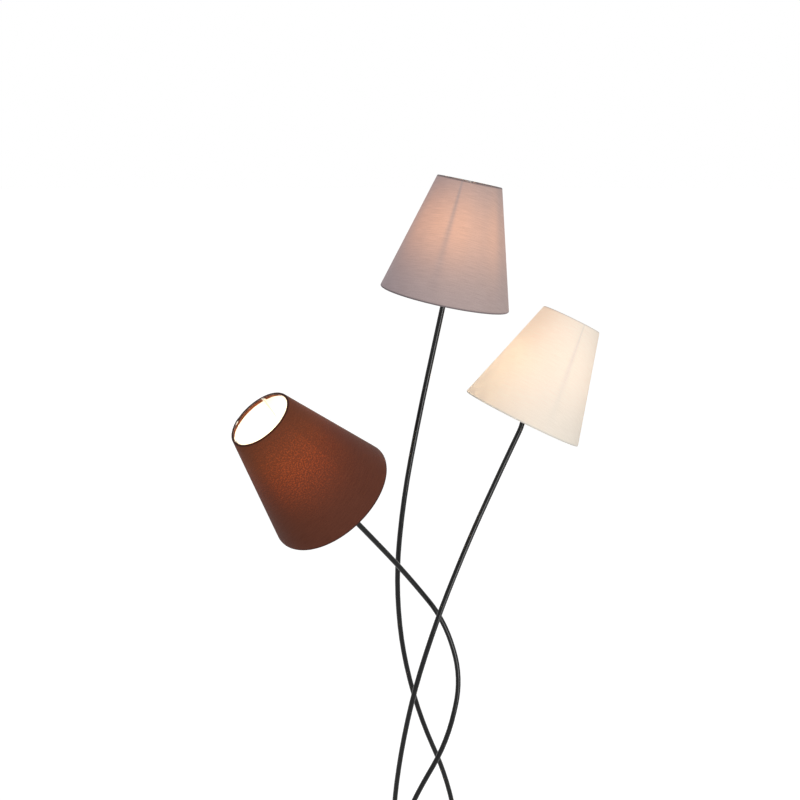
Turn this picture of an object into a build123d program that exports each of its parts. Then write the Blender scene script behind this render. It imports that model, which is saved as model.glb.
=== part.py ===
from build123d import *
from math import atan2, cos, degrees, pi, radians, sin, sqrt, tan
import os

# A floor lamp of three bent tube stems that cross one another and rise from one round foot.
# Each stem carries a small lampholder, a golf-ball bulb and a tapered fabric shade.
# Millimetres. +Z is up, the floor is Z = 0, and the foot's centre is the origin.

# ---------------------------------------------------------------------------
# Driving dimensions
# ---------------------------------------------------------------------------

# Foot
foot_diameter = 250.0
foot_height = 22.0
foot_sheet = 1.2
foot_edge_radius = 5.0
skirt_gap = 1.6
pad_thickness = 2.0
pad_inset = 4.0
plate_thickness = 1.0
plate_clearance = 0.5
weight_clearance = 1.0
pocket_diameter = 110.0
pocket_depth = 10.5
channel_width = 13.0

# Stem feet
stem_circle_radius = 20.0
collar_diameter = 16.0
collar_height = 5.0
edge_chamfer = 1.0
spigot_diameter = 10.0
spigot_tail = 1.0
washer_diameter = 16.0
washer_thickness = 0.8
nut_flats = 14.0
nut_height = 4.5
thread_clearance = 0.05
hole_clearance = 0.2

# Bottom plate screws and earth screw
plate_screw_circle = 90.0
plate_screw_diameter = 4.0
plate_screw_head = 7.6
plate_screw_length = 10.0
earth_screw_diameter = 4.0
earth_screw_head = 7.0
earth_screw_head_height = 2.4
earth_screw_depth = 5.0
earth_tag_diameter = 9.0
earth_tag_length = 14.0
earth_tag_thickness = 0.8
earth_place = (34.0, -18.0)

# Terminal block in the foot
terminal_width = 30.0
terminal_depth = 14.0
terminal_height = 8.5
terminal_corner_radius = 1.5
terminal_pitch = 9.0
terminal_front = 31.0
terminal_screw_diameter = 3.0
terminal_screw_sink = 1.0

# Cord inlet grommet
inlet_bore = 7.0
grommet_neck = 9.4
grommet_flange = 14.0
grommet_lip = 1.5
grommet_tail = 5.0
inlet_height = 10.0

# Stems and the leads inside them
tube_diameter = 8.5
tube_wall = 1.0
foot_run = 75.0
bend_share = 0.47
lead_diameter = 3.2
lead_floor_gap = 0.3
lead_bend = 4.0
lead_straight = 6.0
lead_end_gap = 0.1

# Shades
shade_bottom_diameter = 203.0
shade_top_diameter = 99.5
shade_height = 181.0
fabric = 0.5
liner = 0.4
glue_gap = 0.1
ring_wire = 2.4
hem_depth = 8.0
hem_slope = 2.0

# Shade carrier
arm_count = 3
arm_foot_height = 9.0
arm_top_run = 9.0
arm_bend = 12.0
arm_slot_gap = 0.3
arm_foot_offset = 2.5
carrier_washer_margin = 0.6
carrier_sheet = 1.2

# Lampholder
seat_height = 55.0
holder_thread_diameter = 28.0
holder_thread_length = 16.0
shoulder_diameter = 35.0
shoulder_thickness = 2.5
skirt_diameter = 30.0
skirt_length = 11.5
cap_length = 16.0
cap_taper = 8.0
cap_mouth_diameter = 18.0
holder_wall = 2.3
block_height = 14.0
block_pocket = 2.0
block_clearance = 0.2
socket_depth = 19.0
screw_shell_diameter = 16.4
screw_shell_bore = 14.5
screw_shell_mouth_gap = 2.0
centre_contact = (10.0, 5.0, 0.5)
nipple_collar_diameter = 14.0
nipple_collar_height = 5.0
edge_chamfer = 1.0
nipple_thread_length = 8.0
tube_end_setback = 2.0

# Shade ring that clamps the carrier
shade_ring_diameter = 35.0
shade_ring_height = 8.0
shade_ring_flutes = 24
flute_radius = 0.9
seat_gap = 0.05
running_gap = 0.05
carrier_bore_gap = 0.3

# Bulb
bulb_diameter = 45.0
bulb_length = 77.0
bulb_glass_wall = 0.8
bulb_neck_diameter = 15.6
bulb_cap_diameter = 13.9
bulb_thread_depth = 0.6
bulb_thread_pitch = 2.8
bulb_thread_turns = 6
bulb_tip_diameter = 4.4
bulb_tip_height = 1.0
bulb_insulator_height = 1.4
bulb_neck_angle = 40.0

# The three heads: rim centre of the shade, tilt from the vertical, the way it leans, counted
# from +X, the stem's place on the foot's circle, and how far the first carrier arm is turned
# from the side that faces -Y.
# Straight is how far below the rim the stem keeps to the shade's axis. The cream stem leaves it
# above the rim, because it comes up beside the axis and bends in to it inside the shade.
# Below them, the corner points of the stem's bends, from the head down to the foot.
heads = {
    "grey": dict(
        rim=(38.6, 37.3, 1364.0), tilt=12.2, lean=17.6, foot=30.0, arm=-17.0, straight=45.0,
        bends=[
            (0.4, 25, 1180), (-24.3, 21.3, 1040), (-36.5, 30.1, 900), (-28, 41.9, 760),
            (2.8, 50, 620), (57.4, 50.9, 480), (80.8, 40.3, 340), (52, 22.4, 200),
        ],
    ),
    "cream": dict(
        rim=(169.2, 81.1, 1154.9), tilt=28.3, lean=22.2, foot=-90.0, arm=12.0, straight=-9.5,
        bends=[
            (169.6, 78.7, 1143.2), (139.7, 57.1, 1085), (86.6, 16.1, 980), (33.3, -15, 850),
            (-5.6, -27.7, 720), (-28.6, -30.2, 600), (-42.2, -30.6, 480), (-36.2, -28.5, 340),
            (-15.7, -23.6, 200),
        ],
    ),
    "brown": dict(
        rim=(-134.8, -78.9, 1085.1), tilt=38.4, lean=-147.4, foot=150.0, arm=49.0, straight=25.0,
        bends=[
            (-77.4, -37.4, 1000), (-22.9, -1.5, 920), (44.4, 21.9, 820), (74.4, 5.8, 720),
            (50.8, -15.7, 610), (-11, -22.5, 490), (-51.4, -9.9, 350), (-39.9, 3.9, 200),
        ],
    ),
}

# ---------------------------------------------------------------------------
# Heights in the foot, counted from the floor
# ---------------------------------------------------------------------------

plate_top = pad_thickness + plate_thickness
cover_inner_top = foot_height - foot_sheet
pocket_top = plate_top + pocket_depth
washer_bottom = pocket_top - washer_thickness
nut_bottom = washer_bottom - nut_height
tube_foot = nut_bottom - spigot_tail
lead_floor = plate_top + lead_floor_gap + lead_diameter / 2
cover_inner_radius = foot_diameter / 2 - foot_sheet
weight_radius = cover_inner_radius - weight_clearance

# ---------------------------------------------------------------------------
# Heights in a head, counted along its axis from the shade's bottom rim
# ---------------------------------------------------------------------------

mouth = seat_height + holder_thread_length
shell_bottom = seat_height - shoulder_thickness - skirt_length
cap_bottom = shell_bottom - cap_length
nipple_bottom = cap_bottom - nipple_collar_height
nipple_top = cap_bottom + nipple_thread_length
tube_end = nipple_top - tube_end_setback
socket_floor = mouth - socket_depth
block_bottom = socket_floor - block_height
carrier_bottom = seat_height + seat_gap
carrier_top = carrier_bottom + carrier_sheet
shade_ring_bottom = carrier_top + seat_gap
contact_top = socket_floor - block_pocket + centre_contact[2]
bulb_bottom = contact_top + lead_end_gap
bulb_insulator_bottom = bulb_bottom + bulb_tip_height
bulb_thread_bottom = bulb_insulator_bottom + bulb_insulator_height
bulb_thread_top = bulb_thread_bottom + bulb_thread_pitch * bulb_thread_turns
bulb_centre = bulb_bottom + bulb_length - bulb_diameter / 2

# ---------------------------------------------------------------------------
# The shade's wall, as a cone: height above the rim and depth below the outer face
# ---------------------------------------------------------------------------

shade_slope = (shade_bottom_diameter - shade_top_diameter) / 2 / shade_height
wall_factor = sqrt(1 + shade_slope ** 2)
hem_inner = fabric + glue_gap + ring_wire + glue_gap + fabric
liner_inner = fabric + glue_gap + liner
ring_inset = fabric + glue_gap + ring_wire / 2


def wall(height, inset):
    """Radius and height of a point of the shade's wall."""
    return (shade_bottom_diameter / 2 - shade_slope * height - inset * wall_factor, height)


arm_foot_radius = shade_ring_diameter / 2 + arm_foot_offset
top_ring_radius, top_ring_height = wall(shade_height - ring_inset, ring_inset)
bottom_ring_radius, bottom_ring_height = wall(ring_inset, ring_inset)

# ---------------------------------------------------------------------------
# Helpers
# ---------------------------------------------------------------------------


def polar(radius, angle):
    """Point on a circle round the origin, angle in degrees."""
    return (radius * cos(radians(angle)), radius * sin(radians(angle)))


def head_plane(head):
    """Plane of the shade's bottom rim: its Z runs up the head and its X faces the front."""
    tilt, lean = radians(head["tilt"]), radians(head["lean"])
    up = Vector(sin(tilt) * cos(lean), sin(tilt) * sin(lean), cos(tilt))
    front = Vector(0, -1, 0)
    front = front - up * front.dot(up)
    return Plane(origin=head["rim"], x_dir=front, z_dir=up)


def section_plane(plane, turn=0.0):
    """Plane through a head's axis: X is the radius and Y the height along the axis."""
    radial = plane.x_dir.rotate(Axis((0, 0, 0), plane.z_dir), turn)
    return Plane(origin=plane.origin, x_dir=radial, z_dir=radial.cross(plane.z_dir))


def axis_of(plane):
    return Axis(plane.origin, plane.z_dir)


def half_section(plane, outline):
    """Face bounded by a turned piece's outline of (radius, height) points."""
    with BuildSketch(section_plane(plane)) as section:
        with BuildLine():
            Polyline(*outline, close=True)
        make_face()
    return section.sketch


def bend_radii(points):
    """Each bend's radius, as large as the runs on both sides of its corner allow."""
    radii = []
    for before, corner, after in zip(points, points[1:], points[2:]):
        run_in, run_out = corner - before, after - corner
        turn = radians(run_in.get_angle(run_out))
        radii.append(bend_share * min(run_in.length, run_out.length) / tan(turn / 2))
    return radii


def stem_route(head):
    """Corner points of a stem's centre line, from its foot to its end in the lampholder."""
    rim, up = Vector(*head["rim"]), head_plane(head).z_dir
    foot = polar(stem_circle_radius, head["foot"])
    bends = [Vector(*point) for point in reversed(head["bends"])]
    start = [Vector(*foot, tube_foot), Vector(*foot, foot_run)]
    return start + bends + [rim - up * head["straight"], rim + up * tube_end]


def finish(piece, name):
    """Label a finished piece and write it to its file."""
    piece.part.label = name
    export_step(piece.part, f"parts/{name}.step")


os.makedirs("parts", exist_ok=True)
stem_angles = [head["foot"] for head in heads.values()]
stem_places = [polar(stem_circle_radius, angle) for angle in stem_angles]
screw_places = [polar(plate_screw_circle, 360 / 3 * i + 30) for i in range(3)]

# ---------------------------------------------------------------------------
# Foot: spun sheet cover
# ---------------------------------------------------------------------------

with BuildPart() as base_cover:
    with BuildSketch(Plane.XY.offset(skirt_gap)):
        Circle(foot_diameter / 2)
    extrude(amount=foot_height - skirt_gap)
    fillet(base_cover.edges().group_by(Axis.Z)[-1], foot_edge_radius)
    offset(amount=-foot_sheet, openings=base_cover.faces().sort_by(Axis.Z)[0])
    with BuildSketch(Plane.XY.offset(foot_height)):
        with Locations(*stem_places):
            Circle(spigot_diameter / 2 + hole_clearance)
    extrude(amount=-2 * foot_sheet, mode=Mode.SUBTRACT)
    with BuildSketch(Plane.XZ.offset(-foot_diameter / 2)):
        with Locations((0, inlet_height)):
            Circle(grommet_neck / 2 + thread_clearance)
    extrude(amount=foot_edge_radius, mode=Mode.SUBTRACT)
finish(base_cover, "base_cover")

# Foot: cast-iron weight, with a pocket below for the nuts and wiring and a channel to the inlet
with BuildPart() as base_weight:
    with BuildSketch(Plane.XY.offset(plate_top)):
        Circle(weight_radius)
    extrude(amount=cover_inner_top - plate_top)
    fillet(base_weight.edges().group_by(Axis.Z)[-1], foot_edge_radius)
    with BuildSketch(Plane.XY.offset(plate_top)):
        Circle(pocket_diameter / 2)
        with Locations((0, weight_radius / 2)):
            Rectangle(channel_width, weight_radius)
    extrude(amount=pocket_depth, mode=Mode.SUBTRACT)
    with BuildSketch(Plane.XY.offset(plate_top)):
        with Locations((0, weight_radius)):
            Rectangle(grommet_flange + 1, 2 * (grommet_tail + weight_clearance))
    extrude(amount=inlet_height + grommet_flange / 2 + 0.5 - plate_top, mode=Mode.SUBTRACT)
    with BuildSketch(Plane.XY.offset(pocket_top)):
        with Locations(*stem_places):
            Circle(spigot_diameter / 2 + hole_clearance)
        with Locations(earth_place):
            Circle(earth_screw_diameter / 2 + thread_clearance)
    extrude(amount=cover_inner_top - pocket_top, mode=Mode.SUBTRACT)
    with BuildSketch(Plane.XY.offset(plate_top)):
        with Locations(*screw_places):
            Circle(plate_screw_diameter / 2 + thread_clearance)
    extrude(amount=plate_screw_length, mode=Mode.SUBTRACT)
    with BuildSketch(Plane.XY.offset(plate_top)):
        with Locations(*screw_places):
            Circle(plate_screw_head / 2 - plate_thickness + thread_clearance)
    extrude(
        amount=plate_screw_head / 2 - plate_thickness - plate_screw_diameter / 2,
        taper=45, mode=Mode.SUBTRACT,
    )
finish(base_weight, "base_weight")

# Foot: bottom plate with three countersunk holes
with BuildPart() as base_bottom_plate:
    with BuildSketch(Plane.XY.offset(pad_thickness)):
        Circle(cover_inner_radius - plate_clearance)
    extrude(amount=plate_thickness)
    with BuildSketch(Plane.XY.offset(pad_thickness)):
        with Locations(*screw_places):
            Circle(plate_screw_head / 2 + thread_clearance)
    extrude(amount=plate_thickness, taper=45, mode=Mode.SUBTRACT)
finish(base_bottom_plate, "base_bottom_plate")

# Foot: soft pad that the lamp stands on
with BuildPart() as base_pad:
    with BuildSketch(Plane.XY):
        Circle(foot_diameter / 2 - pad_inset)
    extrude(amount=pad_thickness)
finish(base_pad, "base_pad")

# Foot: countersunk screws that hold the bottom plate to the weight
with BuildPart() as plate_screws:
    for place in screw_places:
        head_radius = plate_screw_head / 2
        shank_radius = plate_screw_diameter / 2
        screw_plane = Plane(origin=(*place, pad_thickness))
        outline = [
            (0, 0), (head_radius, 0), (shank_radius, head_radius - shank_radius),
            (shank_radius, plate_screw_length - thread_clearance),
            (0, plate_screw_length - thread_clearance),
        ]
        revolve(half_section(screw_plane, outline), axis=axis_of(screw_plane))
finish(plate_screws, "plate_screws")

# Foot: turned collars, one brazed on each stem, with a threaded spigot through cover and weight
with BuildPart() as stem_collars:
    for place in stem_places:
        collar_plane = Plane(origin=(*place, 0))
        bore = tube_diameter / 2 + thread_clearance
        outline = [
            (bore, tube_foot), (spigot_diameter / 2, tube_foot), (spigot_diameter / 2, foot_height),
            (collar_diameter / 2, foot_height),
            (collar_diameter / 2, foot_height + collar_height - edge_chamfer),
            (collar_diameter / 2 - edge_chamfer, foot_height + collar_height),
            (bore, foot_height + collar_height),
        ]
        revolve(half_section(collar_plane, outline), axis=axis_of(collar_plane))
finish(stem_collars, "stem_collars")

# Foot: lock washers and thin nuts under the weight
with BuildPart() as lock_washers:
    with BuildSketch(Plane.XY.offset(washer_bottom)):
        with Locations(*stem_places):
            Circle(washer_diameter / 2)
            Circle(spigot_diameter / 2 + hole_clearance, mode=Mode.SUBTRACT)
    extrude(amount=washer_thickness)
finish(lock_washers, "lock_washers")

with BuildPart() as stem_nuts:
    with BuildSketch(Plane.XY.offset(nut_bottom)):
        with Locations(*stem_places):
            RegularPolygon(nut_flats / 2, 6, major_radius=False)
            Circle(spigot_diameter / 2 + thread_clearance, mode=Mode.SUBTRACT)
    extrude(amount=nut_height)
finish(stem_nuts, "stem_nuts")

# Foot: terminal block that joins the three leads to the mains cord, and its screws
terminal_centre = terminal_front + terminal_depth / 2
terminal_top = plate_top + terminal_height
terminal_places = [(i * terminal_pitch, terminal_centre) for i in (-1, 0, 1)]

with BuildPart() as terminal_block:
    with BuildSketch(Plane.XY.offset(plate_top)):
        with Locations((0, terminal_centre)):
            RectangleRounded(terminal_width, terminal_depth, terminal_corner_radius)
    extrude(amount=terminal_height)
    with BuildSketch(Plane.XY.offset(terminal_top)):
        with Locations(*terminal_places):
            Circle(terminal_screw_diameter / 2 + thread_clearance)
    extrude(amount=-terminal_height / 2, mode=Mode.SUBTRACT)
finish(terminal_block, "terminal_block")

with BuildPart() as terminal_screws:
    with BuildSketch(Plane.XY.offset(terminal_top - terminal_height / 2)):
        with Locations(*terminal_places):
            Circle(terminal_screw_diameter / 2)
    extrude(amount=terminal_height / 2 - terminal_screw_sink)
finish(terminal_screws, "terminal_screws")

# Foot: earth tag and its screw, under the web of the weight
with BuildPart() as earth_tag:
    with BuildSketch(Plane.XY.offset(pocket_top - earth_tag_thickness)):
        with Locations(earth_place):
            Circle(earth_tag_diameter / 2)
        with Locations((earth_place[0] - earth_tag_length / 2, earth_place[1])):
            Rectangle(earth_tag_length, earth_tag_diameter / 2)
        with Locations(earth_place):
            Circle(earth_screw_diameter / 2 + hole_clearance, mode=Mode.SUBTRACT)
    extrude(amount=earth_tag_thickness)
finish(earth_tag, "earth_tag")

with BuildPart() as earth_screw:
    with BuildSketch(Plane.XY.offset(pocket_top - earth_tag_thickness)):
        with Locations(earth_place):
            Circle(earth_screw_head / 2)
    extrude(amount=-earth_screw_head_height)
    with BuildSketch(Plane.XY.offset(pocket_top - earth_tag_thickness)):
        with Locations(earth_place):
            Circle(earth_screw_diameter / 2)
    extrude(amount=earth_tag_thickness + earth_screw_depth)
finish(earth_screw, "earth_screw")

# Foot: rubber grommet of the cord inlet, buttoned into the cover's wall at the back
wall_outside = foot_diameter / 2
wall_inside = wall_outside - foot_sheet

with BuildPart() as cord_grommet:
    grommet_plane = Plane(origin=(0, 0, inlet_height), x_dir=(1, 0, 0), z_dir=(0, 1, 0))
    flange_inside = sqrt(wall_inside ** 2 - (grommet_flange / 2) ** 2) - seat_gap
    flange_outside = wall_outside + seat_gap
    outline = [
        (inlet_bore / 2, wall_inside - grommet_tail), (grommet_neck / 2, wall_inside - grommet_tail),
        (grommet_flange / 2, flange_inside - grommet_lip), (grommet_flange / 2, flange_inside),
        (grommet_neck / 2, flange_inside), (grommet_neck / 2, flange_outside),
        (grommet_flange / 2, flange_outside),
        (grommet_flange / 2 - edge_chamfer, flange_outside + grommet_lip),
        (inlet_bore / 2, flange_outside + grommet_lip),
    ]
    revolve(half_section(grommet_plane, outline), axis=axis_of(grommet_plane))
finish(cord_grommet, "cord_grommet")

# ---------------------------------------------------------------------------
# Stems and leads
# ---------------------------------------------------------------------------

for i, (name, head) in enumerate(heads.items()):
    route = stem_route(head)
    radii = bend_radii(route)
    print(name, "stem bend radii", [round(radius) for radius in radii])

    with BuildPart() as stem:
        with BuildLine():
            FilletPolyline(*route, radius=radii)
        with BuildSketch(Plane(origin=route[0])):
            Circle(tube_diameter / 2)
            Circle(tube_diameter / 2 - tube_wall, mode=Mode.SUBTRACT)
        sweep()
    finish(stem, f"{name}_stem")

    # The lead runs from the terminal block, up the stem, to the lampholder's contact block.
    column = round(route[0].X / stem_circle_radius)
    start = Vector(column * terminal_pitch, terminal_front - lead_end_gap, lead_floor)
    side_step = [start - Vector(0, lead_straight, 0)] if column else []
    corner = Vector(route[0].X, route[0].Y, lead_floor)
    end = Vector(*head["rim"]) + head_plane(head).z_dir * (block_bottom - lead_end_gap)
    lead_route = [start] + side_step + [corner] + route[1:-1] + [end]
    with BuildPart() as lead:
        with BuildLine():
            FilletPolyline(*lead_route, radius=[lead_bend] * len(side_step + [corner]) + radii)
        with BuildSketch(Plane(origin=start, z_dir=(0, -1, 0))):
            Circle(lead_diameter / 2)
        sweep()
    finish(lead, f"{name}_lead")


# ---------------------------------------------------------------------------
# Lampholder pieces
# ---------------------------------------------------------------------------


def make_nipple(plane):
    """Steel bush brazed on the stem's end, with the thread that the lampholder screws on to."""
    bore = tube_diameter / 2 + thread_clearance
    outline = [
        (bore, nipple_bottom), (nipple_collar_diameter / 2 - edge_chamfer, nipple_bottom),
        (nipple_collar_diameter / 2, nipple_bottom + edge_chamfer),
        (nipple_collar_diameter / 2, cap_bottom),
        (spigot_diameter / 2, cap_bottom), (spigot_diameter / 2, nipple_top), (bore, nipple_top),
    ]
    with BuildPart() as nipple:
        revolve(half_section(plane, outline), axis=axis_of(plane))
    return nipple


def make_holder_cap(plane):
    """Moulded lower half of the lampholder."""
    entry = spigot_diameter / 2 + thread_clearance
    outer = skirt_diameter / 2
    inner = outer - holder_wall
    outline = [
        (entry, cap_bottom), (cap_mouth_diameter / 2, cap_bottom), (outer, cap_bottom + cap_taper),
        (outer, shell_bottom), (inner, shell_bottom), (inner, nipple_top + 1), (entry, nipple_top + 1),
    ]
    with BuildPart() as cap:
        revolve(half_section(plane, outline), axis=axis_of(plane))
    return cap


def make_holder_shell(plane):
    """Moulded upper half: skirt, shoulder that the shade sits on, and outer thread."""
    inner = skirt_diameter / 2 - holder_wall
    socket = screw_shell_diameter / 2 + thread_clearance
    under_shoulder = seat_height - shoulder_thickness
    outline = [
        (inner, shell_bottom), (skirt_diameter / 2, shell_bottom), (skirt_diameter / 2, under_shoulder),
        (shoulder_diameter / 2, under_shoulder), (shoulder_diameter / 2, seat_height),
        (holder_thread_diameter / 2, seat_height),
        (holder_thread_diameter / 2, mouth - edge_chamfer),
        (holder_thread_diameter / 2 - edge_chamfer, mouth), (socket, mouth), (socket, socket_floor),
        (inner, socket_floor),
    ]
    with BuildPart() as shell:
        revolve(half_section(plane, outline), axis=axis_of(plane))
    return shell


def make_contact_block(plane):
    """Insulating block inside the skirt, with a pocket for the centre contact."""
    radius = skirt_diameter / 2 - holder_wall - block_clearance
    with BuildPart() as block:
        with BuildSketch(plane.offset(block_bottom)):
            Circle(radius)
        extrude(amount=block_height)
        with BuildSketch(plane.offset(socket_floor - block_pocket)):
            Circle(screw_shell_bore / 2)
        extrude(amount=block_pocket, mode=Mode.SUBTRACT)
    return block


def make_contacts(plane):
    """Brass: the threaded shell round the bulb's cap, and the centre contact strip."""
    length, width, thickness = centre_contact
    with BuildPart() as contacts:
        with BuildSketch(plane.offset(socket_floor)):
            Circle(screw_shell_diameter / 2)
            Circle(screw_shell_bore / 2, mode=Mode.SUBTRACT)
        extrude(amount=socket_depth - screw_shell_mouth_gap)
        with BuildSketch(plane.offset(socket_floor - block_pocket)):
            Rectangle(length, width)
        extrude(amount=thickness)
    return contacts


def make_shade_ring(plane):
    """Threaded ring that clamps the shade's carrier on the shoulder, fluted for the fingers."""
    with BuildPart() as ring:
        with BuildSketch(plane.offset(shade_ring_bottom)):
            Circle(shade_ring_diameter / 2)
            Circle(holder_thread_diameter / 2 + running_gap, mode=Mode.SUBTRACT)
            with PolarLocations(shade_ring_diameter / 2, shade_ring_flutes):
                Circle(flute_radius, mode=Mode.SUBTRACT)
        extrude(amount=shade_ring_height)
    return ring


# ---------------------------------------------------------------------------
# Bulb
# ---------------------------------------------------------------------------


def make_bulb_cap(plane):
    """Screw cap of the bulb, with its tip, insulator and rounded thread."""
    crest = bulb_cap_diameter / 2
    root = crest - bulb_thread_depth
    outline = [
        (0, bulb_bottom), (bulb_tip_diameter / 2, bulb_bottom),
        (bulb_tip_diameter / 2, bulb_insulator_bottom), (root, bulb_thread_bottom),
    ]
    for turn in range(bulb_thread_turns):
        height = bulb_thread_bottom + turn * bulb_thread_pitch
        outline.append((crest, height + bulb_thread_pitch * 0.35))
        outline.append((crest, height + bulb_thread_pitch * 0.65))
        outline.append((root, height + bulb_thread_pitch))
    outline.append((0, bulb_thread_top))
    with BuildPart() as cap:
        revolve(half_section(plane, outline), axis=axis_of(plane))
    return cap


def make_bulb_glass(plane):
    """Frosted golf-ball envelope, open at the neck, where it is cemented to the cap."""
    with BuildPart() as glass:
        for radius, mode in (
            (bulb_diameter / 2, Mode.ADD),
            (bulb_diameter / 2 - bulb_glass_wall, Mode.SUBTRACT),
        ):
            neck = bulb_neck_diameter / 2 - (bulb_diameter / 2 - radius)
            low = radians(-bulb_neck_angle)
            joint = (radius * cos(low), bulb_centre + radius * sin(low))
            along = (joint[0] - neck) / -tan(low)
            neck_top = joint[1] - along * tan(radians(90) + low) * tan(-low)
            with BuildSketch(section_plane(plane)):
                with BuildLine():
                    Polyline(
                        (0, bulb_centre + radius), (0, bulb_thread_top), (neck, bulb_thread_top),
                        (neck, neck_top), joint,
                    )
                    CenterArc((0, bulb_centre), radius, -bulb_neck_angle, 90 + bulb_neck_angle)
                make_face()
            revolve(axis=axis_of(plane), mode=mode)
    return glass


# ---------------------------------------------------------------------------
# Shade
# ---------------------------------------------------------------------------


def arm_route(plane, turn):
    """Centre line of one carrier arm, from the washer up to the top ring."""
    foot = arm_foot_radius
    top = top_ring_radius - ring_wire - glue_gap / 2
    side = section_plane(plane, turn)
    points = [
        (foot, carrier_bottom + carrier_sheet / 2), (foot, carrier_top + arm_foot_height),
        (top, top_ring_height - arm_top_run), (top, top_ring_height),
    ]
    return [side.from_local_coords(Vector(*point)) for point in points]


def arm_turns(head):
    return [head["arm"] + i * 360 / arm_count for i in range(arm_count)]


def add_arms(plane, head, radius, mode):
    """Sweep the carrier's arms, or the slots that the hem has round them."""
    for turn in arm_turns(head):
        route = arm_route(plane, turn)
        with BuildLine() as line:
            FilletPolyline(*route, radius=arm_bend)
        with BuildSketch(Plane(origin=route[0], z_dir=plane.z_dir)) as section:
            Circle(radius)
        sweep(section.sketch, path=line.line, mode=mode)


def make_carrier(plane, head):
    """Stamped washer and three wire arms, welded into one piece."""
    with BuildPart() as carrier:
        with BuildSketch(plane.offset(carrier_bottom)):
            Circle(arm_foot_radius + ring_wire / 2 + carrier_washer_margin)
            Circle(holder_thread_diameter / 2 + carrier_bore_gap, mode=Mode.SUBTRACT)
        extrude(amount=carrier_sheet)
        add_arms(plane, head, ring_wire / 2, Mode.ADD)
    return carrier


def make_wire_ring(plane, radius, height):
    """Ring of steel wire that keeps the shade's rim round."""
    with BuildPart() as ring:
        with BuildSketch(section_plane(plane)):
            with Locations((radius, height)):
                Circle(ring_wire / 2)
        revolve(axis=axis_of(plane))
    return ring


def make_liner(plane):
    """White plastic sheet, rolled into a cone, that the fabric is laminated to."""
    low = ring_inset + ring_wire / 2 + glue_gap
    high = shade_height - low
    outline = [
        wall(low, fabric + glue_gap), wall(high, fabric + glue_gap),
        wall(high, liner_inner), wall(low, liner_inner),
    ]
    with BuildPart() as sheet:
        revolve(half_section(plane, outline), axis=axis_of(plane))
    return sheet


def make_cover(plane, head):
    """Fabric cone, turned in round both wire rings and glued down inside as a hem."""
    hem_back = liner_inner + glue_gap
    past_wire = hem_inner + glue_gap

    def hem(end, inwards):
        """Inner outline of one hem, from the fold's inside round to its outside."""
        def at(depth, inset):
            return wall(end + inwards * depth, inset)
        return [
            at(fabric, fabric), at(fabric, hem_inner - fabric), at(past_wire, hem_inner - fabric),
            at(past_wire + hem_slope, hem_back), at(hem_depth, hem_back),
            at(hem_depth, hem_back + fabric), at(past_wire + hem_slope, hem_back + fabric),
            at(past_wire, hem_inner), at(0, hem_inner), at(0, 0),
        ]

    outline = hem(0, 1) + list(reversed(hem(shade_height, -1)))
    with BuildPart() as cover:
        revolve(half_section(plane, outline), axis=axis_of(plane))
        add_arms(plane, head, ring_wire / 2 + arm_slot_gap, Mode.SUBTRACT)
    return cover


# ---------------------------------------------------------------------------
# The three heads
# ---------------------------------------------------------------------------

for name, head in heads.items():
    plane = head_plane(head)
    finish(make_nipple(plane), f"{name}_nipple")
    finish(make_holder_cap(plane), f"{name}_holder_cap")
    finish(make_holder_shell(plane), f"{name}_holder_shell")
    finish(make_contact_block(plane), f"{name}_contact_block")
    finish(make_contacts(plane), f"{name}_contacts")
    finish(make_shade_ring(plane), f"{name}_shade_ring")
    finish(make_bulb_cap(plane), f"{name}_bulb_cap")
    finish(make_bulb_glass(plane), f"{name}_bulb_glass")
    finish(make_carrier(plane, head), f"{name}_shade_carrier")
    finish(make_wire_ring(plane, top_ring_radius, top_ring_height), f"{name}_top_ring")
    finish(make_wire_ring(plane, bottom_ring_radius, bottom_ring_height), f"{name}_bottom_ring")
    finish(make_liner(plane), f"{name}_shade_liner")
    finish(make_cover(plane, head), f"{name}_shade_cover")
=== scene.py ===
from math import atan2, cos, pi, radians, sin, sqrt

import bpy
from mathutils import Matrix, Vector


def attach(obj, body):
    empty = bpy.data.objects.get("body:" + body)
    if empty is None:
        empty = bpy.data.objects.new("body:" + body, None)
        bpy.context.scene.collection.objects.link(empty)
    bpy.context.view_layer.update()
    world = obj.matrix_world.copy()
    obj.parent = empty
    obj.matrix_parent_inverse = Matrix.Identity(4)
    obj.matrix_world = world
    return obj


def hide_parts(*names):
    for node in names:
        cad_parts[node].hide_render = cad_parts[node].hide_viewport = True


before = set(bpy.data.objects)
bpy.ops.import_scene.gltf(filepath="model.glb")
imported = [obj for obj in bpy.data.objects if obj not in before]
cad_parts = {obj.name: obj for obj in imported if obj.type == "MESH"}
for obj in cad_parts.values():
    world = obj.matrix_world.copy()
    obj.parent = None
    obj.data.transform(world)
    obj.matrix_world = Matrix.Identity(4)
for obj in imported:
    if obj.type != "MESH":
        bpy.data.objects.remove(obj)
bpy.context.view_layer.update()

# ---------------------------------------------------------------------------
# Foot cover, collars and nipples: spun steel sheet and turned steel, powder coated satin black.
# The coat is a little uneven, like fine orange peel, and slightly duller in places.
# ---------------------------------------------------------------------------

COAT_BLACK = (0.0135, 0.0135, 0.014, 1)
COAT_PEEL = 0.0011
COAT_PEEL_DEPTH = 0.00002


def new_material(name, colour, roughness, metallic=0.0):
    """A material whose shader has its plain sockets set, and its tree for what is added."""
    made = bpy.data.materials.new(name)
    made.use_nodes = True
    shader = made.node_tree.nodes["Principled BSDF"]
    shader.inputs["Base Color"].default_value = colour
    shader.inputs["Roughness"].default_value = roughness
    shader.inputs["Metallic"].default_value = metallic
    return made, made.node_tree, shader


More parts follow.
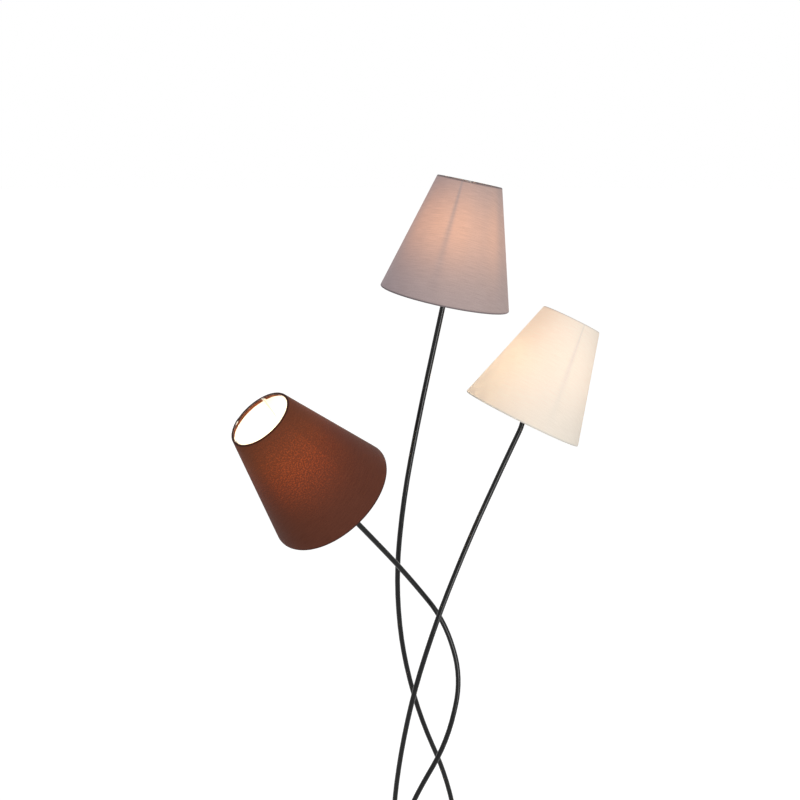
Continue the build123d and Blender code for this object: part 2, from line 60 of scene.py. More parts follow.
def calc(tree, operation, *values):
    """A Math node. Each value is a number or another node's output."""
    node = tree.nodes.new("ShaderNodeMath")
    node.operation = operation
    for socket, value in zip(node.inputs, values):
        if isinstance(value, (int, float)):
            socket.default_value = value
        else:
            tree.links.new(value, socket)
    return node.outputs[0]


def spread(tree, value, low, high, to_low, to_high):
    """A Map Range node, clamped at both ends."""
    node = tree.nodes.new("ShaderNodeMapRange")
    tree.links.new(value, node.inputs["Value"])
    numbers = {"From Min": low, "From Max": high, "To Min": to_low, "To Max": to_high}
    for socket, number in numbers.items():
        node.inputs[socket].default_value = number
    return node.outputs["Result"]


def swing(tree, noise, at_low, at_high):
    """A value that goes from one number to another over the usual range of a noise."""
    return spread(tree, noise, 0.3, 0.7, at_low, at_high)


def place(tree):
    """Object coordinates, in metres."""
    return tree.nodes.new("ShaderNodeTexCoord").outputs["Object"]


def grain(tree, where, size, detail=3.0, roughness=0.55, stretch=None):
    """Noise with spots of about that size in metres. stretch makes them longer along an axis."""
    if stretch:
        mapping = tree.nodes.new("ShaderNodeMapping")
        mapping.inputs["Scale"].default_value = [1 / s for s in stretch]
        tree.links.new(where, mapping.inputs["Vector"])
        where = mapping.outputs["Vector"]
    node = tree.nodes.new("ShaderNodeTexNoise")
    node.inputs["Scale"].default_value = 1 / size
    node.inputs["Detail"].default_value = detail
    node.inputs["Roughness"].default_value = roughness
    tree.links.new(where, node.inputs["Vector"])
    return node.outputs["Fac"]


def shade_between(tree, amount, first, second):
    """A colour between two, by an amount from 0 to 1. Each is a colour or a node's output."""
    node = tree.nodes.new("ShaderNodeMix")
    node.data_type = "RGBA"
    tree.links.new(amount, node.inputs["Factor"])
    for socket, colour in (("A", first), ("B", second)):
        if isinstance(colour, tuple):
            node.inputs[socket].default_value = colour
        else:
            tree.links.new(colour, node.inputs[socket])
    return node.outputs["Result"]


def tint(tree, shader, amount, first, second):
    """Colours the surface between two colours, by an amount from 0 to 1."""
    tree.links.new(shade_between(tree, amount, first, second), shader.inputs["Base Color"])


def raise_by(tree, shader, height, depth, strength=1.0):
    """Bump from a height of 0 to 1 that stands for that depth in metres."""
    node = tree.nodes.new("ShaderNodeBump")
    node.inputs["Strength"].default_value = strength
    node.inputs["Distance"].default_value = depth
    tree.links.new(height, node.inputs["Height"])
    tree.links.new(node.outputs["Normal"], shader.inputs["Normal"])


def dress(material, *names):
    """Gives CAD pieces their finish."""
    for name in names:
        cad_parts[name].material_slots[0].material = material


HEAD_NAMES = ("grey", "cream", "brown")


def each_head(piece):
    """The names of a piece that all three heads have."""
    return [f"{name}_{piece}" for name in HEAD_NAMES]


powder_coat, tree, shader = new_material("satin_black_powder_coat", COAT_BLACK, 0.4)
where = place(tree)
clouds = grain(tree, where, size=0.03)
tint(tree, shader, clouds, (0.011, 0.011, 0.0115, 1), (0.0165, 0.0165, 0.017, 1))
tree.links.new(swing(tree, clouds, 0.36, 0.44), shader.inputs["Roughness"])
peel = grain(tree, where, size=COAT_PEEL, detail=2.0)
raise_by(tree, shader, peel, depth=COAT_PEEL_DEPTH, strength=0.6)
dress(powder_coat, "base_cover", "stem_collars", *each_head("nipple"))

# ---------------------------------------------------------------------------
# Weight: a disc of grey cast iron inside the cover, rough from the sand mould.
# ---------------------------------------------------------------------------

cast_iron, tree, shader = new_material("sand_cast_iron", (0.05, 0.05, 0.052, 1), 0.7, 0.6)
sand = grain(tree, place(tree), size=0.0016, detail=5.0, roughness=0.65)
tint(tree, shader, sand, (0.028, 0.027, 0.027, 1), (0.085, 0.082, 0.08, 1))
raise_by(tree, shader, sand, depth=0.0003)
dress(cast_iron, "base_weight")

# ---------------------------------------------------------------------------
# Bottom plate, washers, nuts, screws and earth tag: steel with bright zinc plating.
# The plate shows the faint cloudy spangle of galvanised sheet.
# ---------------------------------------------------------------------------

SPANGLE = 0.006

zinc, tree, shader = new_material("zinc_plated_steel", (0.55, 0.56, 0.57, 1), 0.38, 1.0)
where = place(tree)
spangle = tree.nodes.new("ShaderNodeTexVoronoi")
spangle.inputs["Scale"].default_value = 1 / SPANGLE
tree.links.new(where, spangle.inputs["Vector"])
tone = spread(tree, spangle.outputs["Distance"], 0.0, 0.9, 0.0, 1.0)
tint(tree, shader, tone, (0.47, 0.48, 0.49, 1), (0.62, 0.63, 0.64, 1))
bloom = grain(tree, where, size=0.004)
tree.links.new(swing(tree, bloom, 0.3, 0.48), shader.inputs["Roughness"])
dress(zinc, "base_bottom_plate", "plate_screws", "lock_washers", "stem_nuts",
      "terminal_screws", "earth_tag", "earth_screw")

# ---------------------------------------------------------------------------
# Pad and cord grommet: a die-cut disc of foam rubber under the foot, and a moulded rubber
# ring in the inlet. Both are matt black.
# ---------------------------------------------------------------------------

rubber, tree, shader = new_material("matt_black_rubber", (0.02, 0.02, 0.02, 1), 0.85)
pores = grain(tree, place(tree), size=0.0007, detail=4.0, roughness=0.7)
tint(tree, shader, pores, (0.012, 0.012, 0.012, 1), (0.034, 0.034, 0.033, 1))
raise_by(tree, shader, pores, depth=0.00012)
dress(rubber, "base_pad", "cord_grommet")

# ---------------------------------------------------------------------------
# Terminal block and the contact blocks in the holders: moulded insulating plastic, off-white.
# ---------------------------------------------------------------------------

insulator, tree, shader = new_material("moulded_insulator", (0.62, 0.6, 0.54, 1), 0.45)
where = place(tree)
flow = grain(tree, where, size=0.006)
tint(tree, shader, flow, (0.58, 0.56, 0.5, 1), (0.66, 0.64, 0.58, 1))
raise_by(tree, shader, grain(tree, where, size=0.0006), depth=0.00001)
dress(insulator, "terminal_block", *each_head("contact_block"))

# ---------------------------------------------------------------------------
# Stems: 8.5 mm steel tube, bent cold and powder coated satin black. The coat is a little
# smoother here than on the foot, so the tube carries a long soft streak of light.
# ---------------------------------------------------------------------------

stem_coat, tree, shader = new_material("satin_black_stem_coat", (0.0035, 0.0035, 0.0037, 1), 0.2)
shader.inputs["Specular IOR Level"].default_value = 0.22
where = place(tree)
clouds = grain(tree, where, size=0.025)
tint(tree, shader, clouds, (0.0028, 0.0028, 0.003, 1), (0.0045, 0.0045, 0.0047, 1))
tree.links.new(swing(tree, clouds, 0.17, 0.23), shader.inputs["Roughness"])
peel = grain(tree, where, size=0.0009, detail=2.0)
raise_by(tree, shader, peel, depth=0.000008, strength=0.4)
dress(stem_coat, *each_head("stem"))

# ---------------------------------------------------------------------------
# Leads: round white sheathed flex inside the stems, faintly ribbed by its twisted cores.
# ---------------------------------------------------------------------------

sheath, tree, shader = new_material("white_lead_sheath", (0.7, 0.69, 0.66, 1), 0.5)
twist = grain(tree, place(tree), size=0.004, detail=1.0)
tint(tree, shader, twist, (0.66, 0.65, 0.62, 1), (0.74, 0.73, 0.7, 1))
raise_by(tree, shader, twist, depth=0.0001)
dress(sheath, *each_head("lead"))

# ---------------------------------------------------------------------------
# Lampholders and their clamp rings: black heat-resistant plastic with a fine spark-eroded
# texture. The threaded shells and centre contacts inside are bare brass.
# ---------------------------------------------------------------------------

holder_plastic, tree, shader = new_material(
    "black_holder_plastic", (0.022, 0.022, 0.023, 1), 0.5
)
texture = grain(tree, place(tree), size=0.0004)
tint(tree, shader, texture, (0.018, 0.018, 0.019, 1), (0.028, 0.028, 0.029, 1))
raise_by(tree, shader, texture, depth=0.00003)
dress(holder_plastic,
      *each_head("holder_cap"), *each_head("holder_shell"), *each_head("shade_ring"))

brass, tree, shader = new_material("bare_brass", (0.66, 0.46, 0.16, 1), 0.28, 1.0)
tarnish = grain(tree, place(tree), size=0.003)
tint(tree, shader, tarnish, (0.5, 0.33, 0.11, 1), (0.74, 0.54, 0.21, 1))
tree.links.new(swing(tree, tarnish, 0.35, 0.22), shader.inputs["Roughness"])
dress(brass, *each_head("contacts"))

# ---------------------------------------------------------------------------
# Bulbs: opal golf-ball glass, lit, cemented in a rolled aluminium screw cap. The glass glows
# warm all over, a little unevenly where the white powder inside it is thicker.
# ---------------------------------------------------------------------------

BULB_LIGHT = (1.0, 0.8, 0.56, 1)
BULB_STRENGTH = 14.0
BULB_UNEVEN = 0.94

opal_glass, tree, shader = new_material("lit_opal_glass", (0.9, 0.88, 0.82, 1), 0.2)
shader.inputs["Emission Color"].default_value = BULB_LIGHT
powder = grain(tree, place(tree), size=0.012)
tree.links.new(
    swing(tree, powder, BULB_STRENGTH * BULB_UNEVEN, BULB_STRENGTH),
    shader.inputs["Emission Strength"],
)
dress(opal_glass, *each_head("bulb_glass"))

cap_metal, tree, shader = new_material("rolled_aluminium", (0.72, 0.72, 0.73, 1), 0.3, 1.0)
handling = grain(tree, place(tree), size=0.002)
tree.links.new(swing(tree, handling, 0.22, 0.4), shader.inputs["Roughness"])
raise_by(tree, shader, handling, depth=0.00002)
dress(cap_metal, *each_head("bulb_cap"))

# ---------------------------------------------------------------------------
# Carriers and rim rings: steel wire and a stamped washer, welded and dipped in white enamel.
# ---------------------------------------------------------------------------

enamel, tree, shader = new_material("white_enamel", (0.76, 0.75, 0.71, 1), 0.3)
dip = grain(tree, place(tree), size=0.005)
tint(tree, shader, dip, (0.72, 0.71, 0.67, 1), (0.8, 0.79, 0.75, 1))
raise_by(tree, shader, dip, depth=0.00008)
dress(enamel, *each_head("shade_carrier"), *each_head("top_ring"), *each_head("bottom_ring"))

# ---------------------------------------------------------------------------
# Liners: thin matt white plastic film that the cloth is laminated to.
# The weave shows through it as a very fine grain.
# ---------------------------------------------------------------------------

liner_film, tree, shader = new_material("white_liner_film", (0.86, 0.84, 0.78, 1), 0.55)
web = grain(tree, place(tree), size=0.0012, detail=2.0)
tint(tree, shader, web, (0.83, 0.81, 0.75, 1), (0.89, 0.87, 0.81, 1))
raise_by(tree, shader, web, depth=0.00003)
dress(liner_film, *each_head("shade_liner"))

# ---------------------------------------------------------------------------
# Shade covers: woven cloth, cut as part of a ring, rolled into a cone with a glued lap and
# turned in round both rim rings. Each glows with painted light for its bulb shining through:
# a warm band at the bulb's height, and the painted shadows of the three carrier arms.
# ---------------------------------------------------------------------------

SHADE_RIM = 0.1015
SHADE_TOP = 0.04975
SHADE_HEIGHT = 0.181
SLOPE = (SHADE_RIM - SHADE_TOP) / SHADE_HEIGHT
LEAN = atan2(SLOPE, 1)
CLOTH = 0.0005
COLUMNS = 216
ROWS = 12
SMOOTH_BELOW = 35

# Hems: a half turn round the rim wire, then an end that stays just inside the liner
RING_INSET = 0.0018
FOLD = 0.00155
FOLD_STEPS = 6
HEM_BACK = 0.0010
HEM_DEPTH = 0.008
HEM_END_GAP = 0.0003
HEM_BULGE = 0.68
HEM_BULGE_GAP = 0.0004

# Lap: over this turn, in radians, the cloth's end rises by its lift to lie over its start
LAP = 0.009
LAP_TURN = LAP / SHADE_RIM
LAP_RISE = 0.5
LAP_LIFT = 0.00062

# Notches for the arms: half their width, their reach below the top, and what counts as inside
NOTCH_HALF = 0.0021
NOTCH_REACH = 0.02
NOTCH_INSET = 0.0009

# Painted shade over the rim wires, in the cloth's colour and in its glow: how far from each rim it
# starts to fade and is gone
BOTTOM_EDGE = (0.0016, 0.0034)
TOP_EDGE = (0.0008, 0.0026)
EDGE_GLOW = 0.15

# Threads: sizes of the thick threads and of the uneven dye, and the depth of the weave
SLUB = 0.0013
SLUB_STRETCH = (18, 1, 1)
MOTTLE = 0.002
WEAVE_DEPTH = 0.00018

# Arms' shadows: the height from which they narrow, and their width there and at the top
SHADOW_FROM = 0.02
SHADOW_WIDTH = (0.0075, 0.0014)

# Painted light over the whole cloth: its ends across the shade, where -1 is the left edge and 1 the
# right one, and the heights between which the crown's share comes in
LEFT_END = -0.85
LEAK_RIGHT_END = 0.75
CROWN_RIGHT_END = 0.1
HUE_RIGHT_END = 0.6
CROWN_RISE = (0.105, 0.145)

# Each head has the middle of its rim in metres, the tilt and lean of its axis and the angles
# of its first arm and its seam in degrees, and the colours of its cloth, one of them the painted
# shade over the rim wires. Its bulb's painted glow is strongest, with strength peak, at height
# centre, fades over reach, and follows round, which has pairs of degrees from the front and
# share. leak and crown are the painted light's strength over the whole cloth at the left and
# the right, and shadow is the darkness of the arms' painted shadows low down and at the top.
HEADS = {
    "grey": dict(
        rim=(0.0386, 0.0373, 1.364), tilt=12.2, lean=17.6, arm=-17.0, seam=169.0,
        cloth=(0.41, 0.322, 0.31, 1), thread=(0.474, 0.38, 0.368, 1),
        rim_fold_shade=(0.2, 0.165, 0.17, 1), sheen=0.15,
        glow=(1.0, 0.39, 0.105, 1), peak=0.425, centre=0.114, reach=0.060,
        round=((-180, 0.6), (-88, 0.4), (-50, 0.84), (-32, 0.97), (-4, 1.0), (17, 0.78),
               (28, 0.7), (42, 0.75), (60, 0.4), (80, 0.36), (180, 0.6)),
        leak=(0.03, 0.01), crown=(0.0, 0.0),
        leak_left=(0.35, 0.45, 1.0, 1), leak_right=(1.0, 0.5, 0.2, 1),
        slub=0.06, speckle=0.0, shadow=(0.16, 0.66), pitch=0.00055,
    ),
    "cream": dict(
        rim=(0.1692, 0.0811, 1.1549), tilt=28.3, lean=22.2, arm=12.0, seam=157.5,
        cloth=(0.72, 0.68, 0.6, 1), thread=(0.77, 0.73, 0.65, 1),
        rim_fold_shade=(0.74, 0.7, 0.63, 1), sheen=0.08,
        glow=(1.0, 0.6, 0.35, 1), peak=0.2, centre=0.113, reach=0.075,
        round=((-180, 0.8), (-90, 0.8), (-60, 0.95), (-20, 1.0), (30, 1.0), (55, 1.0),
               (75, 0.7), (180, 0.8)),
        leak=(0.245, 0.12), crown=(0.065, 0.0),
        leak_left=(1.0, 0.58, 0.33, 1), leak_right=(1.0, 0.74, 0.58, 1),
        slub=0.015, speckle=0.0, shadow=(0.3, 0.9), pitch=0.00045,
    ),
    "brown": dict(
        rim=(-0.1348, -0.0789, 1.0851), tilt=38.4, lean=-147.4, arm=49.0, seam=-131.5,
        cloth=(0.094, 0.0255, 0.0135, 1), thread=(0.115, 0.0335, 0.0185, 1),
        rim_fold_shade=(0.045, 0.014, 0.01, 1), sheen=0.1,
        glow=(1.0, 0.13, 0.002, 1), peak=0.125, centre=0.119, reach=0.048,
        round=((-180, 0.35), (-90, 0.22), (-56, 0.28), (-40, 0.32), (-20, 0.72), (0, 1.0),
               (22, 1.0), (40, 0.9), (60, 0.5), (80, 0.24), (180, 0.35)),
        leak=(0.004, 0.001), crown=(0.02, 0.02),
        leak_left=(1.0, 0.32, 0.02, 1), leak_right=(1.0, 0.32, 0.02, 1),
        slub=0.0, speckle=1.4, shadow=(0.1, 0.4), pitch=0.0006,
    ),
}


def head_matrix(head):
    """Place of a head: its Z runs up the shade's axis and its X faces the front."""
    tilt, lean = radians(head["tilt"]), radians(head["lean"])
    up = Vector((sin(tilt) * cos(lean), sin(tilt) * sin(lean), cos(tilt)))
    front = Vector((0, -1, 0))
    front = (front - up * front.dot(up)).normalized()
    side = up.cross(front)
    turned = Matrix((front, side, up)).transposed().to_4x4()
    return Matrix.Translation(head["rim"]) @ turned


def arm_angles(head):
    """Angles of the three carrier arms round the shade's axis."""
    return [radians(head["arm"] + 120 * arm) for arm in range(3)]


def cone_point(height, inset):
    """Radius and height of a point that far inside the cloth's outer face."""
    return (SHADE_RIM - SLOPE * height - inset / cos(LEAN), height)


def half_turn(middle, first):
    """Points of the cloth round a rim wire, from that angle in degrees."""
    turns = [radians(first - 180 / FOLD_STEPS * step) + LEAN for step in range(FOLD_STEPS + 1)]
    return [(middle[0] + FOLD * cos(turn), middle[1] + FOLD * sin(turn)) for turn in turns]


def cloth_profile():
    """Middle line of the cloth, from the end of the top hem, over, down and into the bottom hem."""
    half = CLOTH / 2
    end = HEM_BACK + half + HEM_END_GAP
    bulge = HEM_BACK + half + HEM_BULGE_GAP
    points = [cone_point(SHADE_HEIGHT - HEM_DEPTH, end)]
    points.append(cone_point(SHADE_HEIGHT - HEM_DEPTH * HEM_BULGE, bulge))
    points += half_turn(cone_point(SHADE_HEIGHT - RING_INSET, RING_INSET), 180)
    for row in range(1, ROWS):
        height = SHADE_HEIGHT - 2 * RING_INSET - (SHADE_HEIGHT - 4 * RING_INSET) * row / ROWS
        points.append(cone_point(height, half))
    points += half_turn(cone_point(RING_INSET, RING_INSET), 0)
    points.append(cone_point(HEM_DEPTH * HEM_BULGE, bulge))
    points.append(cone_point(HEM_DEPTH, end))
    return points


def spin_cloth(name, profile):
    """Draws the profile point by point and spins it past a full turn, so that the ends lap."""
    bpy.ops.object.select_all(action="DESELECT")
    bpy.ops.mesh.primitive_plane_add(size=0.001, location=(0, 0, 0))
    cloth = bpy.context.object
    cloth.name = name
    cloth.data.name = name
    bpy.ops.object.mode_set(mode="EDIT")
    bpy.ops.mesh.merge(type="CENTER")
    bpy.ops.transform.translate(value=(profile[0][0], 0, profile[0][1]))
    for before, after in zip(profile, profile[1:]):
        step = (after[0] - before[0], 0, after[1] - before[1])
        bpy.ops.mesh.extrude_region_move(TRANSFORM_OT_translate={"value": step})
    bpy.ops.mesh.select_all(action="SELECT")
    bpy.ops.mesh.spin(steps=COLUMNS, angle=2 * pi + LAP_TURN, center=(0, 0, 0), axis=(0, 0, 1))
    bpy.ops.object.mode_set(mode="OBJECT")
    return cloth


def lay_flat(cloth, profile, seam):
    """Lifts the lap over the start, turns the seam to its place and keeps the flat cut as UV."""
    lengths = [0.0]
    for before, after in zip(profile, profile[1:]):
        step = sqrt((after[0] - before[0]) ** 2 + (after[1] - before[1]) ** 2)
        lengths.append(lengths[-1] + step)
    rim_at = min(range(len(profile)), key=lambda i: profile[i][1])
    sign = 1 if cloth.data.vertices[len(profile)].co.y > 0 else -1
    whole = 2 * pi + LAP_TURN
    flat = []
    for vertex in cloth.data.vertices:
        column, row = divmod(vertex.index, len(profile))
        turn = whole * column / COLUMNS
        lift = min(max((turn - (whole - LAP_RISE)) / (LAP_RISE - LAP_TURN), 0), 1)
        radius = profile[row][0] + LAP_LIFT * lift * lift * (3 - 2 * lift)
        angle = seam + sign * (turn - LAP_TURN / 2)
        vertex.co = (radius * cos(angle), radius * sin(angle), profile[row][1])
        reach = SHADE_RIM / sin(LEAN) - (lengths[rim_at] - lengths[row])
        flat_angle = (turn - pi) * sin(LEAN)
        flat.append((reach * sin(flat_angle), reach * cos(flat_angle)))
    uv = cloth.data.uv_layers.new(name="flat_cut")
    for loop in cloth.data.loops:
        uv.data[loop.index].uv = flat[loop.vertex_index]


def notch_for_arms(cloth, angles):
    """Cuts the inner turn of the top hem away where a carrier arm comes up to the ring."""
    for face in cloth.data.polygons:
        face.select = False
        x, y, z = face.center
        inset = SHADE_RIM - SLOPE * z - sqrt(x ** 2 + y ** 2)
        high = SHADE_HEIGHT - NOTCH_REACH < z < SHADE_HEIGHT - RING_INSET
        for angle in angles:
            beside = abs(x * sin(angle) - y * cos(angle)) < NOTCH_HALF
            same_side = x * cos(angle) + y * sin(angle) > 0
            if high and inset > NOTCH_INSET and beside and same_side:
                face.select = True
    for vertex in cloth.data.vertices:
        vertex.select = False
    bpy.ops.object.mode_set(mode="EDIT")
    bpy.ops.mesh.select_mode(type="FACE")
    bpy.ops.mesh.delete(type="FACE")
    bpy.ops.mesh.select_mode(type="VERT")
    bpy.ops.object.mode_set(mode="OBJECT")


def arm_shadow(tree, x, y, radius, width, angle):
    """1 in the shadow of an arm at that angle, falling to 0 beside it."""
    # The squared distance from the arm's line is 2 * radius * (radius - along)
    along = calc(
        tree, "ADD", calc(tree, "MULTIPLY", x, cos(angle)), calc(tree, "MULTIPLY", y, sin(angle))
    )
    off = calc(tree, "MULTIPLY", calc(tree, "SUBTRACT", radius, along), radius)
    narrow = calc(tree, "MULTIPLY", width, width)
    return calc(
        tree, "EXPONENT", calc(tree, "DIVIDE", calc(tree, "MULTIPLY", off, -2.0), narrow)
    )


def around(tree, turn, stops):
    """A value that follows (degrees from the front, value) stops round the shade."""
    node = tree.nodes.new("ShaderNodeValToRGB")
    tree.links.new(turn, node.inputs["Fac"])
    ramp = node.color_ramp
    ramp.interpolation = "EASE"
    while len(ramp.elements) > 1:
        ramp.elements.remove(ramp.elements[-1])
    for at, value in stops:
        stop = ramp.elements.new((at + 180) / 360) if at > -180 else ramp.elements[0]
        stop.position = (at + 180) / 360
        stop.color = (value, value, value, 1)
    return node.outputs["Color"]


def cloth_material(name, head):
    """Woven cloth lit from behind, in the head's own place and along the flat cut's threads."""
    made, tree, shader = new_material(f"{name}_woven_cloth", head["cloth"], 0.9)
    shader.inputs["Sheen Weight"].default_value = head["sheen"]
    shader.inputs["Sheen Roughness"].default_value = 0.35
    shader.inputs["Sheen Tint"].default_value = (0.85, 0.88, 0.92, 1)
    shader.inputs["Specular IOR Level"].default_value = 0.13

    # Threads: the weave, the thicker threads in it and the uneven dye
    threads = tree.nodes.new("ShaderNodeUVMap")
    threads.uv_map = "flat_cut"
    threads = threads.outputs["UV"]
    split = tree.nodes.new("ShaderNodeSeparateXYZ")
    tree.links.new(threads, split.inputs[0])
    warp = calc(tree, "SINE", calc(tree, "MULTIPLY", split.outputs["X"], pi / head["pitch"]))
    weft = calc(tree, "SINE", calc(tree, "MULTIPLY", split.outputs["Y"], pi / head["pitch"]))
    over = calc(tree, "MULTIPLY_ADD", calc(tree, "MULTIPLY", warp, weft), 0.5, 0.5)
    slub = grain(tree, threads, SLUB, detail=1.0, roughness=0.5, stretch=SLUB_STRETCH)
    mottle = grain(tree, threads, MOTTLE, detail=1.0, roughness=0.5)
    relief = calc(
        tree, "ADD", calc(tree, "MULTIPLY", over, 0.6), calc(tree, "MULTIPLY", slub, 0.4)
    )
    raise_by(tree, shader, relief, depth=WEAVE_DEPTH, strength=0.8)

    # Place on the shade: round its axis and up from its rim
    inside = tree.nodes.new("ShaderNodeMapping")
    inside.vector_type = "TEXTURE"
    matrix = head_matrix(head)
    inside.inputs["Location"].default_value = matrix.to_translation()
    inside.inputs["Rotation"].default_value = matrix.to_euler()
    tree.links.new(place(tree), inside.inputs["Vector"])
    split = tree.nodes.new("ShaderNodeSeparateXYZ")
    tree.links.new(inside.outputs["Vector"], split.inputs[0])
    x, y, height = split.outputs
    radius = calc(
        tree, "SQRT", calc(tree, "ADD", calc(tree, "MULTIPLY", x, x), calc(tree, "MULTIPLY", y, y))
    )
    clear = calc(
        tree, "MULTIPLY", spread(tree, height, *BOTTOM_EDGE, 0.0, 1.0),
        spread(tree, height, SHADE_HEIGHT - TOP_EDGE[0], SHADE_HEIGHT - TOP_EDGE[1], 0.0, 1.0),
    )

    # Dye: paler on the thicker threads, and painted shade, another tone, in the folds over the rim
    # wires
    tone = calc(tree, "ADD", calc(tree, "MULTIPLY", slub, 0.6), calc(tree, "MULTIPLY", mottle, 0.4))
    tone = spread(tree, tone, 0.36, 0.64, 0.0, 1.0)
    dye = shade_between(tree, tone, head["cloth"], head["thread"])
    tint(tree, shader, clear, head["rim_fold_shade"], dye)

    # Light of the bulb through the cloth: a soft band, with the arms' shadows across it
    off = calc(tree, "DIVIDE", calc(tree, "SUBTRACT", height, head["centre"]), head["reach"])
    light = calc(tree, "EXPONENT", calc(tree, "MULTIPLY", calc(tree, "MULTIPLY", off, off), -1.0))
    turn = calc(tree, "MULTIPLY_ADD", calc(tree, "ARCTAN2", y, x), 1 / (2 * pi), 0.5)
    light = calc(tree, "MULTIPLY", light, around(tree, turn, head["round"]))
    light = calc(tree, "MULTIPLY", light, head["peak"])
    width = spread(tree, height, SHADOW_FROM, SHADE_HEIGHT, *SHADOW_WIDTH)
    depth = spread(tree, height, SHADOW_FROM, SHADE_HEIGHT, *head["shadow"])
    for angle in arm_angles(head):
        dark = calc(tree, "MULTIPLY", arm_shadow(tree, x, y, radius, width, angle), depth)
        light = calc(tree, "MULTIPLY", light, calc(tree, "SUBTRACT", 1.0, dark))
    if head["slub"]:
        streaks = swing(tree, slub, 1 - head["slub"], 1 + head["slub"])
        light = calc(tree, "MULTIPLY", light, streaks)
    if head["speckle"]:
        specks = spread(
            tree, mottle, 0.45, 0.68, 1 - head["speckle"] * 0.35, 1 + head["speckle"]
        )
        light = calc(tree, "MULTIPLY", light, specks)

    # Painted light over the whole cloth: the bulb's light spread by the liner, and more on one side
    # and towards the top, standing in for uneven room light
    sideways = calc(tree, "DIVIDE", y, radius)
    leak = spread(tree, sideways, LEFT_END, LEAK_RIGHT_END, *head["leak"])
    crown = spread(tree, sideways, LEFT_END, CROWN_RIGHT_END, *head["crown"])
    rise = spread(tree, height, *CROWN_RISE, 0.0, 1.0)
    leak = calc(tree, "MULTIPLY_ADD", crown, rise, leak)
    to_right = spread(tree, sideways, LEFT_END, HUE_RIGHT_END, 0.0, 1.0)
    hue = shade_between(tree, to_right, head["leak_left"], head["leak_right"])
    whole = calc(tree, "ADD", light, leak)
    tree.links.new(
        shade_between(tree, calc(tree, "DIVIDE", light, whole), hue, head["glow"]),
        shader.inputs["Emission Color"],
    )
    # Painted shade of the rim wires: the glow falls to a share of itself at both rims
    edges = calc(tree, "MULTIPLY_ADD", clear, 1 - EDGE_GLOW, EDGE_GLOW)
    tree.links.new(calc(tree, "MULTIPLY", whole, edges), shader.inputs["Emission Strength"])
    return made


profile = cloth_profile()
for name, head in HEADS.items():
    cloth = spin_cloth(f"{name}_shade_cloth", profile)
    lay_flat(cloth, profile, radians(head["seam"]))
    notch_for_arms(cloth, arm_angles(head))
    bpy.ops.object.select_all(action="DESELECT")
    cloth.select_set(True)
    bpy.context.view_layer.objects.active = cloth
    bpy.ops.object.mode_set(mode="EDIT")
    bpy.ops.mesh.select_all(action="SELECT")
    bpy.ops.mesh.normals_make_consistent(inside=False)
    bpy.ops.object.mode_set(mode="OBJECT")
    cloth.matrix_world = head_matrix(head)
    bpy.ops.object.transform_apply(location=True, rotation=True, scale=True)
    thick = cloth.modifiers.new("cloth_thickness", "SOLIDIFY")
    thick.thickness = CLOTH
    thick.offset = 0
    bpy.ops.object.modifier_apply(modifier=thick.name)
    bpy.ops.object.shade_smooth_by_angle(angle=radians(SMOOTH_BELOW))
    cloth.data.materials.append(cloth_material(name, head))
    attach(cloth, f"{name}_shade")
    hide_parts(f"{name}_shade_cover")

# ---------------------------------------------------------------------------
# Floor and room: a pale floor that keeps the lamp's shadow, plain white all round. Both are
# white only to what looks at them, and light the lamp at a plain level.
# ---------------------------------------------------------------------------

FLOOR_GREY = 0.6
FLOOR_LIFT = 0.62
ROOM_LIGHT = 0.7


def looked_at(tree):
    """1 for rays from the camera, off gloss and through glass, and 0 for all others."""
    ray = tree.nodes.new("ShaderNodeLightPath")
    seen = calc(tree, "MAXIMUM", ray.outputs["Is Camera Ray"], ray.outputs["Is Glossy Ray"])
    return calc(tree, "MAXIMUM", seen, ray.outputs["Is Transmission Ray"])


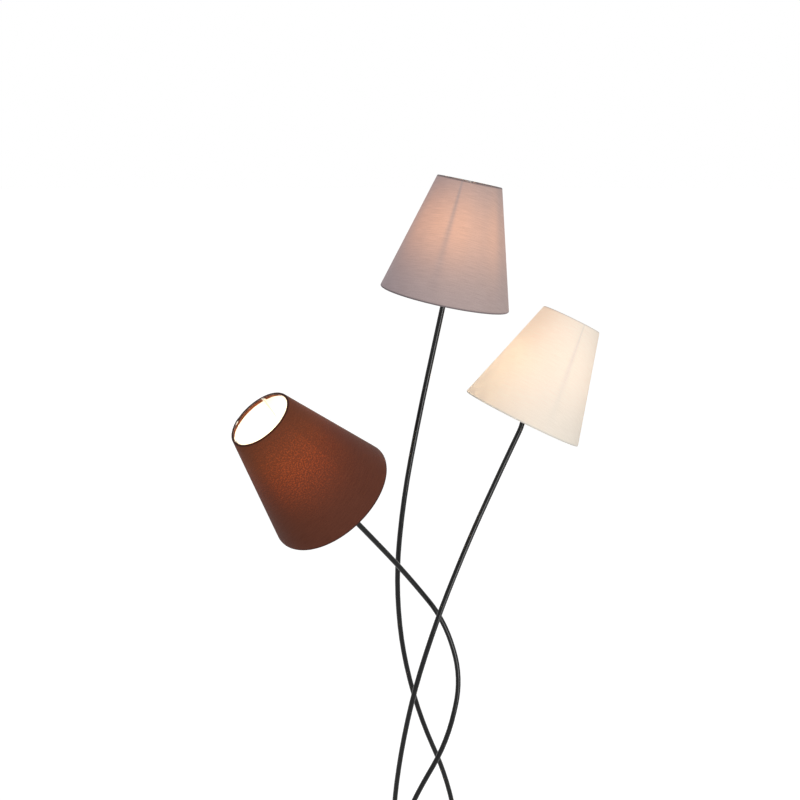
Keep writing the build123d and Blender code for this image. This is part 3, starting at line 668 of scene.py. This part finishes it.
bpy.ops.object.select_all(action="DESELECT")
bpy.ops.mesh.primitive_plane_add(size=30, location=(0, 0, 0))
floor = bpy.context.object
floor.name = "floor"
floor_paint, tree, shader = new_material(
    "pale_floor", (FLOOR_GREY, FLOOR_GREY, FLOOR_GREY, 1), 0.9
)
shader.inputs["Specular IOR Level"].default_value = 0.0
shader.inputs["Emission Color"].default_value = (1, 1, 1, 1)
tree.links.new(
    calc(tree, "MULTIPLY", looked_at(tree), FLOOR_LIFT), shader.inputs["Emission Strength"]
)
floor.data.materials.append(floor_paint)

world = bpy.data.worlds.new("white_room")
bpy.context.scene.world = world
world.use_nodes = True
tree = world.node_tree
background = tree.nodes["Background"]
background.inputs["Color"].default_value = (1, 1, 1, 1)
tree.links.new(
    spread(tree, looked_at(tree), 0.0, 1.0, ROOM_LIGHT, 1.0), background.inputs["Strength"]
)

# ---------------------------------------------------------------------------
# Studio lights: a tall soft box to the right of the camera, and a strip beside it that only
# gloss shows, which draws the light streak along the stems.
# ---------------------------------------------------------------------------

LAMP_MIDDLE = (0, 0, 1.1)


def soft_box(name, at, width, height, watts):
    """A rectangular studio light aimed at the middle of the lamp."""
    lamp = bpy.data.lights.new(name, "AREA")
    lamp.shape = "RECTANGLE"
    lamp.size, lamp.size_y = width, height
    lamp.energy = watts
    holder = bpy.data.objects.new(name, lamp)
    bpy.context.scene.collection.objects.link(holder)
    holder.location = at
    aim = (Vector(at) - Vector(LAMP_MIDDLE)).to_track_quat("Z", "Y")
    holder.rotation_euler = aim.to_euler()
    return holder


soft_box("key_light", at=(0.82, -1.83, 1.0), width=0.4, height=1.5, watts=13.8)
strip = soft_box("gloss_strip", at=(1.12, -1.72, 0.9), width=0.5, height=1.7, watts=34)
strip.visible_diffuse = False

# ---------------------------------------------------------------------------
# Camera: a little left of the lamp at head height, looking down at it.
# ---------------------------------------------------------------------------

LOOK_DOWN = 17

lens = bpy.data.cameras.new("camera")
lens.lens = 48
lens.sensor_width = 36
lens.clip_start = 0.05
camera = bpy.data.objects.new("camera", lens)
bpy.context.scene.collection.objects.link(camera)
camera.location = (-0.030, -1.580, 1.695)
camera.rotation_euler = (radians(90 - LOOK_DOWN), 0, 0)
bpy.context.scene.camera = camera

bpy.context.scene.view_settings.view_transform = "Standard"
